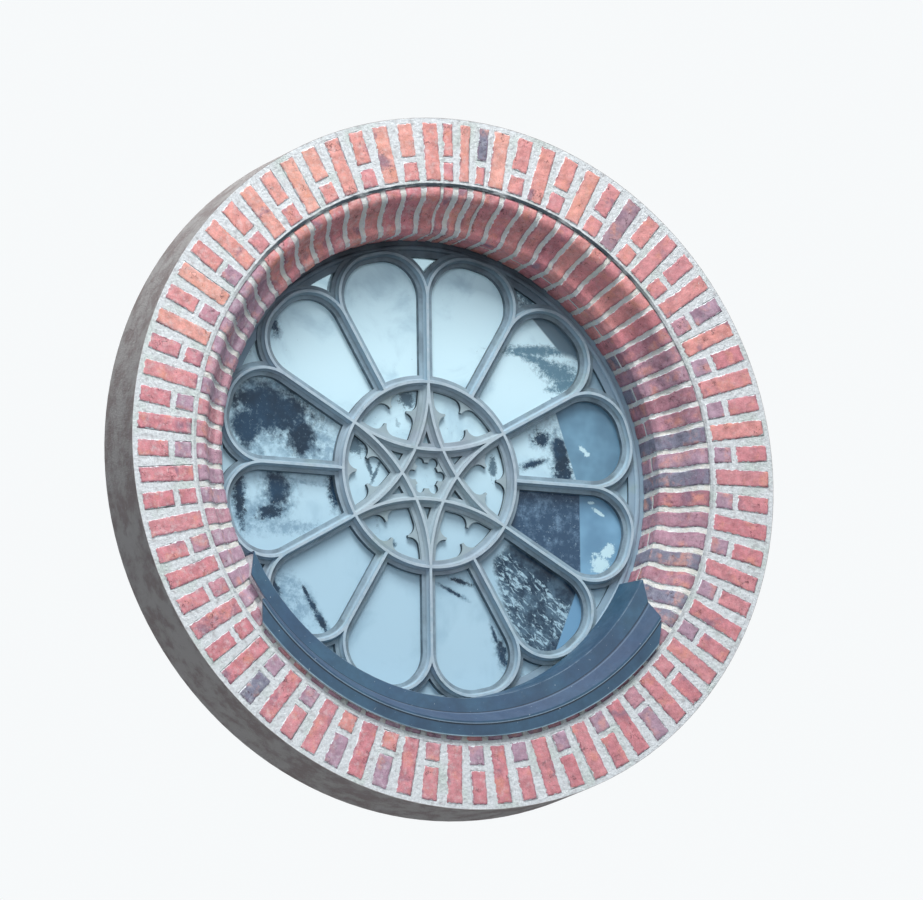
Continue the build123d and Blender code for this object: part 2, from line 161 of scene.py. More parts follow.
class Shader:
    """A material whose look is built from object coordinates."""

    def __init__(self, name, roughness=0.7, specular=0.5):
        self.material = bpy.data.materials.new(name)
        self.material.use_nodes = True
        self.tree = self.material.node_tree
        self.surface = self.tree.nodes["Principled BSDF"]
        self.surface.inputs["Roughness"].default_value = roughness
        self.surface.inputs["Specular IOR Level"].default_value = specular
        self.place = self.tree.nodes.new("ShaderNodeTexCoord").outputs["Object"]
        split = self.tree.nodes.new("ShaderNodeSeparateXYZ")
        self.tree.links.new(self.place, split.inputs[0])
        self.x, self.y, self.z = split.outputs

    def set(self, socket, value):
        """Link a value to a socket, or write it there."""
        if isinstance(value, bpy.types.NodeSocket):
            self.tree.links.new(value, socket)
        elif socket.type == "VECTOR":
            socket.default_value = value[:3]
        else:
            socket.default_value = value

    def math(self, operation, *values):
        """One step of arithmetic."""
        node = self.tree.nodes.new("ShaderNodeMath")
        node.operation = operation
        for socket, value in zip(node.inputs, values):
            self.set(socket, value)
        return node.outputs[0]

    def times(self, *factors):
        """Product of two values or more."""
        product = factors[0]
        for factor in factors[1:]:
            product = self.math("MULTIPLY", product, factor)
        return product

    def plus(self, first, second):
        """Sum of two values."""
        return self.math("ADD", first, second)

    def minus(self, first, second):
        """Difference of two values."""
        return self.math("SUBTRACT", first, second)

    def apart(self, first, second):
        """How far two values are apart."""
        return self.math("ABSOLUTE", self.minus(first, second))

    def length(self, first, second):
        """Square root of the sum of two squares."""
        squares = [self.math("POWER", side, 2.0) for side in (first, second)]
        return self.math("SQRT", self.plus(*squares))

    def swing(self, value, reach):
        """Noise moved to both sides of zero, over the reach."""
        return self.times(self.minus(value, 0.5), reach)

    def stretched(self, factors):
        """Object coordinates scaled along each axis."""
        node = self.tree.nodes.new("ShaderNodeVectorMath")
        node.operation = "MULTIPLY"
        self.set(node.inputs[0], self.place)
        node.inputs[1].default_value = factors
        return node.outputs[0]

    def turned(self, angle, factors):
        """Object coordinates turned in the window plane, and scaled along the turned axes."""
        node = self.tree.nodes.new("ShaderNodeMapping")
        node.vector_type = "TEXTURE"
        self.set(node.inputs["Vector"], self.place)
        node.inputs["Rotation"].default_value = (0.0, radians(angle), 0.0)
        node.inputs["Scale"].default_value = [1 / factor for factor in factors]
        return node.outputs[0]

    def noise(self, scale, detail=4.0, roughness=0.55, vector=None, warp=0.0):
        """Fractal noise from 0 to 1."""
        node = self.tree.nodes.new("ShaderNodeTexNoise")
        node.inputs["Scale"].default_value = scale
        node.inputs["Detail"].default_value = detail
        node.inputs["Roughness"].default_value = roughness
        node.inputs["Distortion"].default_value = warp
        self.set(node.inputs["Vector"], self.place if vector is None else vector)
        return node.outputs["Fac"]

    def attribute(self, name, kind="Fac"):
        """Value that the mesh carries."""
        node = self.tree.nodes.new("ShaderNodeAttribute")
        node.attribute_name = name
        return node.outputs[kind]

    def ramp(self, value, low, high, out_low=0.0, out_high=1.0):
        """Value moved from one range to another, smoothly and with clamped ends."""
        node = self.tree.nodes.new("ShaderNodeMapRange")
        node.interpolation_type = "SMOOTHSTEP"
        self.set(node.inputs["Value"], value)
        self.set(node.inputs["From Min"], low)
        self.set(node.inputs["From Max"], high)
        self.set(node.inputs["To Min"], out_low)
        self.set(node.inputs["To Max"], out_high)
        return node.outputs[0]

    def cloud(self, noise, low, high, out_low=0.0, out_high=1.0):
        """Ramp over a noise that is given as scale, detail and roughness."""
        return self.ramp(self.noise(*noise), low, high, out_low, out_high)

    def mix(self, amount, first, second):
        """Blend of two colours."""
        node = self.tree.nodes.new("ShaderNodeMix")
        node.data_type = "RGBA"
        self.set(node.inputs[0], amount)
        self.set(node.inputs[6], first)
        self.set(node.inputs[7], second)
        return node.outputs[2]

    def shade(self, base, amount):
        """Colour made darker or lighter by a factor."""
        node = self.tree.nodes.new("ShaderNodeVectorMath")
        node.operation = "SCALE"
        self.set(node.inputs[0], base)
        self.set(node.inputs[3], amount)
        return node.outputs[0]

    def bump(self, height, distance, strength=1.0, under=None):
        """Relief from a height, on top of an earlier relief."""
        node = self.tree.nodes.new("ShaderNodeBump")
        node.inputs["Distance"].default_value = distance
        node.inputs["Strength"].default_value = strength
        self.set(node.inputs["Height"], height)
        if under is not None:
            self.set(node.inputs["Normal"], under)
        return node.outputs[0]

    def radius(self):
        """Distance from the window's axis."""
        return self.length(self.x, self.z)

    def beyond(self, point, heading, soft, waver=None):
        """1 on the left side of a line in the window plane that runs through a point at a heading."""
        across = (-sin(radians(heading)), cos(radians(heading)))
        x = self.times(self.minus(self.x, point[0]), across[0])
        z = self.times(self.minus(self.z, point[1]), across[1])
        side = self.plus(x, z)
        if waver is not None:
            side = self.plus(side, waver)
        return self.ramp(side, -soft, soft)

    def oval(self, centre, size, turn, edge):
        """Reach of an oval in the window plane: under 1 inside, broken up by a noise."""
        c, s = cos(radians(turn)), sin(radians(turn))
        x = self.minus(self.x, centre[0])
        z = self.minus(self.z, centre[1])
        along = self.plus(self.times(x, c / size[0]), self.times(z, s / size[0]))
        across = self.plus(self.times(x, -s / size[1]), self.times(z, c / size[1]))
        return self.plus(self.length(along, across), edge)

    def nearest(self, ovals, noises):
        """Smallest reach of several ovals, given as place, size, turn and the name of the noise."""
        reach = None
        for x, z, width, height, turn, kind in ovals:
            this = self.oval((x, z), (width, height), turn, noises[kind])
            reach = this if reach is None else self.math("MINIMUM", reach, this)
        return reach

    def finish(self, base, normal=None, roughness=None):
        """Connect the look to the surface."""
        self.set(self.surface.inputs["Base Color"], base)
        if normal is not None:
            self.set(self.surface.inputs["Normal"], normal)
        if roughness is not None:
            self.set(self.surface.inputs["Roughness"], roughness)
        return self.material


mortar_colour = colour(238, 243, 246)
mortar_dirt = colour(186, 184, 186)
mortar_moss = colour(206, 222, 212)


def mortar_look(shader):
    """Pale lime mortar with grey dirt and a breath of green."""
    dirt = shader.cloud((60, 6, 0.65), 0.50, 0.72, 0.0, 0.85)
    green = shader.cloud((9, 3), 0.48, 0.72, 0.0, 0.6)
    base = shader.mix(green, mortar_colour, mortar_moss)
    base = shader.mix(dirt, base, mortar_dirt)
    return shader.shade(base, shader.cloud((240, 3), 0.3, 0.7, 0.86, 1.08))


def mortar_material(name, joint=False):
    """Rough mortar with sandy relief: paler as a joint, else with a painted shadow where the two rings
    meet.
    """
    shader = Shader(name, roughness=0.92, specular=0.2)
    relief = shader.bump(shader.noise(95, 7, 0.7), 0.007, 1.0)
    relief = shader.bump(shader.noise(420, 4, 0.6), 0.0015, 0.8, relief)
    base = mortar_look(shader)
    if joint:
        pale = shader.cloud((30, 4), 0.4, 0.65, 0.3, 0.8)
        base = shader.mix(pale, base, colour(244, 240, 230))
    else:
        # Painted shadow under the step between the two brick rings, strongest over the top of the ring
        waver = shader.swing(shader.noise(22, 4), 0.008)
        from_step = shader.apart(shader.radius(), ring_step_radius)
        step_shadow = shader.times(
            shader.ramp(shader.plus(from_step, waver), 0.0056, 0.0030),
            shader.ramp(shader.y, 0.06, 0.04),
            shader.ramp(shader.z, 0.40, 0.62, 0.2, 1.0),
            shader.cloud((12, 4), 0.3, 0.5, 0.6, 1.0),
        )
        base = shader.mix(step_shadow, base, colour(62, 72, 80))
        side = shader.ramp(shader.radius(), collar_radius - 0.0018, collar_radius - 0.0006)
        rubbed = shader.cloud((14, 6, 0.7), 0.4, 0.62)
        base = shader.mix(side, base, shader.mix(rubbed, colour(176, 172, 170), colour(150, 140, 138)))
    return shader.finish(base, relief)


def brick_material(name, smear):
    """Fired clay with mottled faces, sooty ends, darker edges that are partly the clay's own colour and
    partly painted shade at the joints, cracks and mortar smeared over the edges.
    """
    shader = Shader(name, roughness=0.88, specular=0.25)
    tone = shader.attribute("tone", "Color")
    edge = shader.attribute("edge")
    mottle = shader.cloud((30, 6, 0.65), 0.3, 0.7, 0.76, 1.16)
    base = shader.shade(tone, mottle)
    warm = shader.cloud((19, 4, 0.6), 0.50, 0.70, 0.0, 0.55)
    base = shader.mix(warm, base, colour(232, 160, 136))
    fired = shader.ramp(shader.noise(11, 4, 0.6, warp=0.4), 0.57, 0.70, 0.0, 0.75)
    base = shader.mix(fired, base, colour(138, 112, 132))
    # Darker edges: partly the clay's own colour, partly painted shade where the joints are recessed
    rim = shader.cloud((14, 3), 0.42, 0.6, 0.0, 0.6)
    rim = shader.times(shader.ramp(edge, 9.0, 1.0), rim)
    base = shader.mix(rim, base, colour(134, 96, 116))
    grain = shader.cloud((330, 3, 0.7), 0.25, 0.75, 0.86, 1.12)
    base = shader.shade(base, grain)
    vein = shader.apart(shader.noise(42, 5, 0.6), 0.5)
    crack = shader.times(shader.ramp(vein, 0.016, 0.004), shader.cloud((23, 2), 0.56, 0.64))
    pits = shader.math("MAXIMUM", crack, shader.cloud((190, 2, 0.5), 0.68, 0.74))
    base = shader.mix(shader.times(pits, 0.8), base, colour(84, 54, 64))
    wave = shader.cloud((75, 6, 0.62), 0.34, 0.78, 0.2, smear)
    covered = shader.ramp(shader.minus(edge, wave), 0.6, -0.6)
    fleck = shader.ramp(shader.noise(110, 6, 0.75, warp=1.5), 0.64, 0.68)
    fleck = shader.times(fleck, shader.cloud((13, 2), 0.42, 0.62, 0.1, 0.9))
    covered = shader.math("MAXIMUM", covered, fleck)
    veil = shader.cloud((55, 6, 0.7), 0.46, 0.72, 0.0, 0.38)
    veil = shader.times(veil, shader.ramp(shader.x, 0.5, -0.2, 0.35, 1.0))
    covered = shader.math("MAXIMUM", covered, veil)
    base = shader.mix(covered, base, mortar_look(shader))
    relief = shader.bump(shader.noise(48, 5, 0.6), 0.005, 0.8)
    relief = shader.bump(pits, 0.0012, 0.8, relief)
    relief = shader.bump(shader.noise(360, 4, 0.7), 0.0012, 0.7, relief)
    return shader.finish(base, relief)


def paint_material(name, base_colour, grime_and_shade_strength=1.0, crown_shade=0.0, inner_edge=lip_back, shade=0.8):
    """Weathered grey-blue paint: ridges pale with wear and a painted highlight, grime and painted shade
    in the corners, painted shade next to the glass and, if asked for, under the crown.
    """
    shader = Shader(name, roughness=0.5, specular=0.45)
    patch = shader.cloud((7.5, 4, 0.6), 0.35, 0.65)
    base = shader.mix(patch, base_colour, shader.shade(base_colour, 0.88))
    lilac = shader.cloud((4.3, 3, 0.5), 0.5, 0.72, 0.0, 0.35)
    base = shader.mix(lilac, base, colour(162, 168, 184))
    green = shader.ramp(shader.noise(11, 4, 0.6, warp=0.6), 0.5, 0.75, 0.0, 0.5)
    base = shader.mix(green, base, colour(150, 172, 168))
    # Grime and painted shade in the corner between the hollow and the lip
    corner = shader.ramp(shader.apart(shader.y, corner_depth), 0.0045, 0.0005)
    streak = shader.cloud((16, 5, 0.65), 0.36, 0.68, 0.35, 0.75)
    grime_and_shade = shader.times(corner, streak, grime_and_shade_strength)
    base = shader.mix(grime_and_shade, base, colour(84, 96, 106))
    # Painted shade on the rebate faces between the paint's inner edge and the glass
    inner = shader.times(
        shader.ramp(shader.y, inner_edge - 0.0005, inner_edge + 0.0015),
        shader.ramp(shader.y, glass_depth + 0.001, glass_depth - 0.0005),
        shader.cloud((26, 3), 0.35, 0.6, 0.75 * shade, shade),
    )
    base = shader.mix(inner, base, colour(38, 48, 58))
    # Pale ridges: partly worn paint, partly a painted highlight along the arris
    worn = shader.ramp(shader.y, ridge_depth + 0.0016, ridge_depth + 0.0002)
    worn = shader.times(worn, shader.cloud((60, 3), 0.3, 0.6, 0.1, 0.6))
    base = shader.mix(worn, base, colour(186, 202, 212))
    specks = shader.cloud((160, 4, 0.7), 0.66, 0.74, 0.0, 0.55)
    base = shader.mix(specks, base, colour(92, 100, 108))
    # Painted shade under the crown of the arch, over the upper rim and the petal heads
    if crown_shade:
        under = shader.times(
            shader.ramp(shader.z, 0.40, 0.62),
            shader.ramp(shader.radius(), 0.56, 0.65),
            shader.cloud((9, 4), 0.3, 0.6, 0.7 * crown_shade, crown_shade),
            shader.ramp(shader.y, 0.235, 0.225),
        )
        base = shader.mix(under, base, colour(34, 44, 54))
    relief = shader.bump(shader.noise(75, 5, 0.6), 0.0016, 0.5)
    relief = shader.bump(shader.noise(500, 3, 0.6), 0.0004, 0.6, relief)
    return shader.finish(base, relief, shader.cloud((30, 3), 0.3, 0.7, 0.42, 0.64))


def sheet_material(name, base_colour, other_colour, low_edge):
    """Weathered slate-blue sheet metal with streaks and crumbs of mortar, a painted tone on the slope
    face, and painted highlights and shade at the folds, the hem and the lower edge.
    """
    shader = Shader(name, roughness=0.5, specular=0.5)
    radius = shader.radius()
    streak = shader.noise(16, 4, 0.6, shader.stretched((1.0, 0.35, 1.0)), 0.3)
    streak = shader.ramp(streak, 0.3, 0.7, 0.88, 1.12)
    patch = shader.cloud((5.0, 4, 0.55), 0.35, 0.65)
    base = shader.shade(shader.mix(patch, base_colour, other_colour), streak)
    # Slope face tinted purple-grey: a painted tone for how the light falls on it
    slope = shader.ramp(radius, riser_radius, riser_radius + 0.001)
    slope = shader.times(slope, shader.ramp(radius, hem_radius, hem_radius - 0.001))
    base = shader.mix(shader.times(slope, 0.5), base, colour(80, 92, 118))
    # Painted shade along the fold between riser and slope, and a painted highlight just beyond it
    crease_shade = shader.ramp(shader.apart(radius, riser_radius), 0.0022, 0.0008)
    base = shader.mix(shader.times(crease_shade, 0.85), base, colour(34, 48, 62))
    from_crease_highlight = shader.apart(radius, riser_radius + 0.004)
    base = shader.mix(shader.ramp(from_crease_highlight, 0.002, 0.0008, 0.0, 0.35), base, colour(130, 150, 170))
    # Painted highlight along the nosing fold
    fold = shader.ramp(shader.apart(radius, nosing_radius), 0.0018, 0.0004)
    fold = shader.times(fold, shader.cloud((40, 3), 0.35, 0.6, 0.1, 0.5))
    base = shader.mix(fold, base, colour(140, 160, 178))
    # Painted highlight along the outer edge of the hem
    hem = shader.ramp(radius, hem_end - 0.0026, hem_end - 0.0012)
    hem = shader.times(hem, shader.ramp(radius, hem_end + 0.0008, hem_end + 0.0002))
    base = shader.mix(shader.times(hem, 0.7), base, colour(150, 172, 190))
    # Painted shadow of the hem on the apron just beyond it
    under = shader.ramp(radius, hem_end + 0.0004, hem_end + 0.001)
    under = shader.times(under, shader.ramp(radius, hem_end + 0.006, hem_end + 0.003))
    base = shader.mix(shader.times(under, 0.85), base, colour(28, 40, 52))
    # Painted highlight along the lower edge of the sheet
    edge = shader.ramp(radius, low_edge - 0.004, low_edge - 0.0005)
    edge = shader.times(edge, shader.cloud((14, 3), 0.35, 0.6, 0.45, 0.95))
    base = shader.mix(edge, base, colour(152, 182, 196))
    crumbs = shader.cloud((130, 3, 0.6), 0.71, 0.74, 0.0, 0.8)
    base = shader.mix(crumbs, base, colour(190, 200, 206))
    dull = shader.cloud((75, 5, 0.7), 0.3, 0.7, 0.93, 1.07)
    relief = shader.bump(shader.noise(6.0, 3), 0.006, 0.35)
    relief = shader.bump(shader.noise(260, 3, 0.6), 0.0004, 0.5, relief)
    roughness = shader.cloud((22, 4), 0.3, 0.7, 0.38, 0.62)
    return shader.finish(shader.shade(base, dull), relief, roughness)


# Glass. What it mirrors is painted in the window's own coordinates

sky_high = colour(208, 239, 250)
sky_low = colour(176, 209, 226)
tree_dark = colour(32, 52, 70)
fir_colour = colour(86, 124, 144)
wall_dark = colour(56, 82, 108)
wall_blue = colour(128, 174, 204)

# Ovals of the painted reflections in the glass: x, z, width and height in metres, turn in degrees, and
# the noise on the edge
haze_ovals = (
    (-0.520, -0.150, 0.080, 0.050, 10, "leaves"),
    (-0.420, -0.180, 0.080, 0.016, 6, "fine"),
    (-0.363, -0.045, 0.050, 0.006, -6, "fine"),
    (-0.500, 0.226, 0.070, 0.014, 4, "fine"),
    (-0.330, 0.060, 0.052, 0.046, 0, "fine"),
    (-0.420, -0.390, 0.050, 0.085, 31, "leaves"),
)
tree_ovals = (
    (-0.480, 0.160, 0.122, 0.070, -8, "leaves"),
    (-0.552, 0.116, 0.050, 0.064, 0, "leaves"),
    (-0.388, 0.098, 0.043, 0.068, 10, "leaves"),
    (-0.462, -0.070, 0.034, 0.052, 0, "leaves"),
    (-0.488, -0.138, 0.036, 0.018, 10, "fine"),
    (-0.582, -0.092, 0.016, 0.080, 4, "fine"),
    (-0.286, -0.062, 0.014, 0.044, 10, "fine"),
    (0.368, 0.136, 0.022, 0.020, 0, "fine"),
    (0.424, 0.104, 0.024, 0.052, 16, "leaves"),
    (0.436, 0.045, 0.026, 0.040, 10, "fine"),
    (0.340, 0.060, 0.040, 0.008, 20, "fine"),
    (-0.376, -0.364, 0.005, 0.022, 31, "fine"),
    (-0.354, -0.404, 0.008, 0.028, 31, "fine"),
    (-0.328, -0.448, 0.010, 0.030, 31, "fine"),
    (-0.472, -0.352, 0.008, 0.026, 34, "fine"),
    (-0.440, -0.420, 0.006, 0.024, 30, "fine"),
    (0.236, -0.502, 0.013, 0.036, 16, "fine"),
    (0.213, -0.450, 0.005, 0.024, 20, "fine"),
    (0.080, -0.330, 0.034, 0.005, -25, "fine"),
    (0.110, -0.300, 0.030, 0.006, -10, "fine"),
    (-0.468, 0.410, 0.012, 0.026, 20, "fine"),
)
fir_ovals = (
    (0.350, 0.392, 0.105, 0.014, 3, "fine"),
    (0.385, 0.352, 0.095, 0.016, -22, "fine"),
    (0.430, 0.330, 0.060, 0.028, -10, "fine"),
    (0.445, 0.300, 0.045, 0.020, 15, "fine"),
    (0.300, 0.378, 0.040, 0.008, -10, "fine"),
)
bright_ovals = (
    (0.548, -0.216, 0.026, 0.026, 0, "fine"),
    (0.572, -0.180, 0.016, 0.026, -35, "fine"),
    (0.500, 0.112, 0.014, 0.006, -40, "fine"),
    (0.512, 0.100, 0.008, 0.006, 0, "fine"),
    (0.545, -0.066, 0.020, 0.005, -35, "fine"),
    (0.520, -0.040, 0.010, 0.004, 0, "fine"),
)
plain_pane_ovals = (
    (0.335, 0.585, 0.075, 0.060, -30, "fine"),
    (-0.176, 0.022, 0.006, 0.034, 14, "fine"),
    (-0.158, -0.008, 0.005, 0.040, -24, "fine"),
    (-0.222, 0.078, 0.022, 0.030, 30, "fine"),
    (-0.054, 0.222, 0.024, 0.022, 0, "fine"),
    (0.214, 0.042, 0.010, 0.030, 0, "fine"),
    (-0.105, -0.205, 0.012, 0.010, 0, "fine"),
)

# Foot of the house wall as a point, a heading and a softness, and where the lower half starts
wall_foot = ((0.26, -0.150), -30, 0.002)
lower_half = (-0.004, -0.008)


def fine_noise(shader):
    """Noise that frays an edge like twigs."""
    return shader.swing(shader.noise(52, 8, 0.8), 4.5)


def glass_base(shader):
    """Painted reflection of pale sky in old glass, with veils of dirt."""
    low = shader.ramp(shader.z, 0.35, -0.3)
    base = shader.mix(low, sky_high, sky_low)
    veil = shader.ramp(shader.noise(6.5, 5, 0.6, warp=0.5), 0.48, 0.72, 0.0, 0.5)
    base = shader.mix(veil, base, colour(150, 186, 206))
    spots = shader.cloud((70, 5, 0.75), 0.66, 0.74)
    near = shader.cloud((8, 2), 0.5, 0.62)
    return shader.mix(shader.times(spots, near), base, colour(96, 124, 142))


def glass_finish(shader, base):
    """Smooth, slightly wavy glass surface."""
    relief = shader.bump(shader.noise(9, 2), 0.004, 0.15)
    return shader.finish(base, relief, shader.cloud((40, 3), 0.3, 0.7, 0.12, 0.24))


def petal_trees(shader, base, noises):
    """Painted reflections of haze, dark trees in a halo of twigs, and a paler row of firs."""
    haze = shader.ramp(shader.nearest(haze_ovals, noises), 1.6, 0.6, 0.0, 0.75)
    haze = shader.times(haze, shader.cloud((44, 7, 0.75), 0.38, 0.60, 0.15, 1.0))
    base = shader.mix(haze, base, colour(112, 146, 170))
    gaps = shader.cloud((95, 5, 0.75), 0.55, 0.72, 0.0, 0.75)
    gaps = shader.times(gaps, shader.cloud((14, 3), 0.4, 0.6, 0.25, 1.0))
    dark = shader.mix(shader.cloud((12, 3), 0.35, 0.65), tree_dark, colour(40, 68, 92))
    dark = shader.mix(gaps, dark, colour(120, 148, 166))
    glints = shader.ramp(shader.noise(150, 3, 0.7, warp=1.0), 0.70, 0.74)
    dark = shader.mix(glints, dark, colour(196, 218, 228))

    trees = shader.nearest(tree_ovals, noises)
    halo = shader.ramp(trees, 2.5, 1.1, 0.0, 0.75)
    halo = shader.times(halo, shader.cloud((38, 6, 0.7), 0.38, 0.60))
    clear_petal = shader.times(
        shader.minus(1.0, shader.beyond((0.0, 0.0), 150, 0.004)),
        shader.ramp(shader.x, -0.04, -0.05),
        shader.ramp(shader.z, 0.37, 0.35),
    )
    stay = shader.minus(1.0, clear_petal)
    base = shader.mix(shader.times(halo, stay), base, colour(114, 146, 166))
    base = shader.mix(shader.times(shader.ramp(trees, 1.45, 0.65), stay), base, dark)
    firs = shader.ramp(shader.nearest(fir_ovals, noises), 1.6, 0.5, 0.0, 0.95)
    return shader.mix(firs, base, shader.mix(gaps, fir_colour, colour(140, 176, 194)))


def petal_wall(shader, base, fine):
    """Painted reflection of a roof line and house wall in the petals on the right."""
    high = shader.times(
        shader.beyond((0.386, 0.442), -47, 0.003),
        shader.beyond((0.42, 0.398), -20, 0.012, shader.times(fine, 0.012)),
        shader.ramp(shader.z, 0.235, 0.24),
    )
    roof = shader.mix(shader.ramp(shader.z, 0.3, 0.5), colour(86, 112, 130), colour(104, 128, 142))
    base = shader.mix(high, base, roof)
    upper = shader.times(
        shader.beyond((0.432, 0.16), -72, 0.002),
        shader.ramp(shader.z, 0.0, 0.004),
        shader.ramp(shader.z, 0.262, 0.256),
    )
    gleam = shader.cloud((7, 3), 0.3, 0.7)
    base = shader.mix(upper, base, shader.mix(gleam, colour(94, 130, 154), colour(124, 168, 194)))
    lower = shader.times(
        shader.ramp(shader.z, *lower_half),
        shader.ramp(shader.x, 0.2, 0.21),
        shader.beyond(*wall_foot),
    )
    mottle = shader.cloud((26, 7, 0.75), 0.46, 0.70)
    mottled = shader.mix(mottle, wall_dark, colour(112, 142, 168))
    flecks = shader.cloud((120, 5, 0.7), 0.61, 0.68, 0.0, 0.7)
    base = shader.mix(lower, base, shader.mix(flecks, mottled, colour(150, 178, 196)))
    blue = shader.times(lower, shader.ramp(shader.x, 0.484, 0.488))
    return shader.mix(blue, base, shader.mix(gleam, wall_blue, colour(104, 146, 176)))


def petal_hedge(shader, base, fine):
    """Painted reflection of a streaked hedge in the lowest petal on the right, and a strip of sky beside
    the wall.
    """
    frayed = shader.times(fine, 0.010)
    hedge = shader.times(
        shader.minus(1.0, shader.beyond(*wall_foot)),
        shader.beyond((0.212, -0.243), -76, 0.012, frayed),
        shader.beyond((0.250, -0.192), -138, 0.012, frayed),
        shader.ramp(shader.z, *lower_half),
    )
    shreds = shader.noise(1.0, 6, 0.7, shader.turned(42, (40.0, 50.0, 100.0)), 0.7)
    solid = shader.ramp(shader.beyond((0.265, -0.206), -36, 0.050), 0.0, 1.0, 0.475, 0.66)
    middle = shader.ramp(shader.oval((0.330, -0.365), (0.060, 0.060), -40, 0.0), 1.5, 0.3, 0.0, 0.06)
    lowest = shader.ramp(shader.z, -0.38, -0.45, 0.0, 0.035)
    bright = shader.plus(solid, shader.plus(middle, lowest))
    light = shader.ramp(shreds, bright, shader.plus(bright, 0.11))
    shadow = shader.cloud((18, 5, 0.7), 0.4, 0.65)
    shadow = shader.mix(shadow, colour(38, 60, 80), colour(84, 112, 132))
    base = shader.mix(hedge, base, shader.mix(light, shadow, colour(166, 198, 214)))
    strip = shader.times(hedge, shader.beyond((0.464, -0.324), -111, 0.002))
    return shader.mix(strip, base, colour(112, 158, 192))


def petal_glass_material():
    """Petal panes with painted reflections: sky, with dark trees on the left and a house wall and trees
    on the right.
    """
    shader = Shader("glass_petal", roughness=0.15, specular=0.3)
    fine = fine_noise(shader)
    noises = {"leaves": shader.swing(shader.noise(24, 9, 0.78), 2.9), "fine": fine}
    base = petal_trees(shader, glass_base(shader), noises)
    base = petal_wall(shader, base, fine)
    base = petal_hedge(shader, base, fine)
    blots = shader.ramp(shader.nearest(bright_ovals, noises), 1.25, 0.8)
    return glass_finish(shader, shader.mix(blots, base, colour(196, 228, 238)))


def plain_glass_material(name):
    """Panes with a painted reflection of the sky, duller on the right, with a little dirt."""
    shader = Shader(name, roughness=0.15, specular=0.3)
    dull = shader.ramp(shader.x, 0.30, 0.44, 0.0, 0.75)
    dull = shader.times(dull, shader.ramp(shader.z, -0.1, 0.1, 0.1, 1.0))
    base = shader.mix(dull, glass_base(shader), colour(112, 146, 168))
    shapes = shader.nearest(plain_pane_ovals, {"fine": fine_noise(shader)})
    base = shader.mix(shader.ramp(shapes, 1.5, 0.6, 0.0, 0.9), base, colour(70, 98, 116))
    smudge = shader.cloud((30, 6, 0.7), 0.58, 0.7, 0.0, 0.6)
    near = shader.cloud((7, 2), 0.5, 0.65)
    base = shader.mix(shader.times(smudge, near), base, colour(92, 120, 138))
    sheen = shader.ramp(shader.z, 0.30, 0.46, 0.0, 0.65)
    sheen = shader.times(sheen, shader.ramp(shader.x, 0.25, 0.1))
    shader.set(shader.surface.inputs["Metallic"], sheen)
    return glass_finish(shader, base)


def steel_material():
    """Plain steel screw heads, dull and a little stained."""
    shader = Shader("screw_steel", roughness=0.35)
    shader.surface.inputs["Metallic"].default_value = 1.0
    stain = shader.cloud((260, 4, 0.6), 0.45, 0.65)
    base = shader.mix(stain, colour(172, 172, 168), colour(122, 112, 100))
    return shader.finish(base, shader.bump(shader.noise(700, 2), 0.0002, 0.5))


# Irregular bricks

def voussoir_centre(number):
    """Angle of the middle of a voussoir in degrees."""
    first, last = closing_voussoirs
    right, left = closing_angles
    if number <= first:
        return first_voussoir_angle + (right - first_voussoir_angle) * number / first
    if number <= last:
        return right + (left - right) * (number - first) / (last - first)
    full_turn = first_voussoir_angle + 360
    return left + (full_turn - left) * (number - last) / (voussoir_count - last)


def is_closing(number):
    """Whether this voussoir is one of the narrow ones."""
    return closing_voussoirs[0] < number < closing_voussoirs[1]


# Tones of the bricks as read in the photograph, from 0 to 255
salmon = (228, 158, 152)
rose = (216, 148, 154)
red = (212, 138, 146)
mauve = (184, 152, 170)
grey = (134, 134, 152)
orange = (234, 174, 160)
dark_red = (178, 124, 136)

# Single bricks that stand out in the photograph
stained_long_brick = 12
grey_headers = (19, 51)


def mix_tone(first, second, amount):
    """Tone between two tones."""
    return tuple(a + (b - a) * amount for a, b in zip(first, second))


def tone_of(ring, number):
    """Colour of a brick, by its ring and by the angle in degrees at which it sits."""
    angle = voussoir_centre(number) % 360
    chance = (number * 7919 + ring * 104729) % 1000 / 1000
    pick = (number * 31 + ring * 17) % 97 / 97
    if ring == long_ring and number == stained_long_brick:
        return mix_tone(rose, grey, 0.55)
    if ring == header_ring and number in grey_headers:
        return grey
    if ring == header_ring and 92 < angle < 140 or ring == long_ring and 60 < angle < 165:
        return mix_tone(salmon, orange, pick)
    if ring == closer_ring:
        if angle < 36 or angle > 262:
            return mauve if chance < 0.62 else mix_tone(rose, mauve, pick)
        if 140 < angle < 245:
            return mauve if chance < 0.35 else mix_tone(red, mauve, pick)
        return mix_tone(rose, salmon, pick)
    if ring in (moulded_long_ring, moulded_short_ring, reveal_ring):
        if angle < 36 or angle > 300:
            return grey if chance < 0.3 else mix_tone(mauve, dark_red, pick)
        if angle > 140:
            return mauve if chance < 0.5 else mix_tone(rose, mauve, pick)
        return mix_tone(red, salmon, pick)
    if ring == header_ring and (angle > 225 or angle < 35):
        return mauve if chance < 0.3 else mix_tone(rose, red, pick)
    return mix_tone(rose, red if angle > 170 else salmon, pick)


def rows(length):
    """Positions along a brick's side, closer together near its two ends."""
    inner = length - 2 * edge_rows[-1]
    count = max(2, round(inner / grid_step))
    middle = [edge_rows[-1] + inner * k / count for k in range(1, count)]
    tail = [length - row for row in reversed(edge_rows)]
    return [*edge_rows, *middle, *tail]


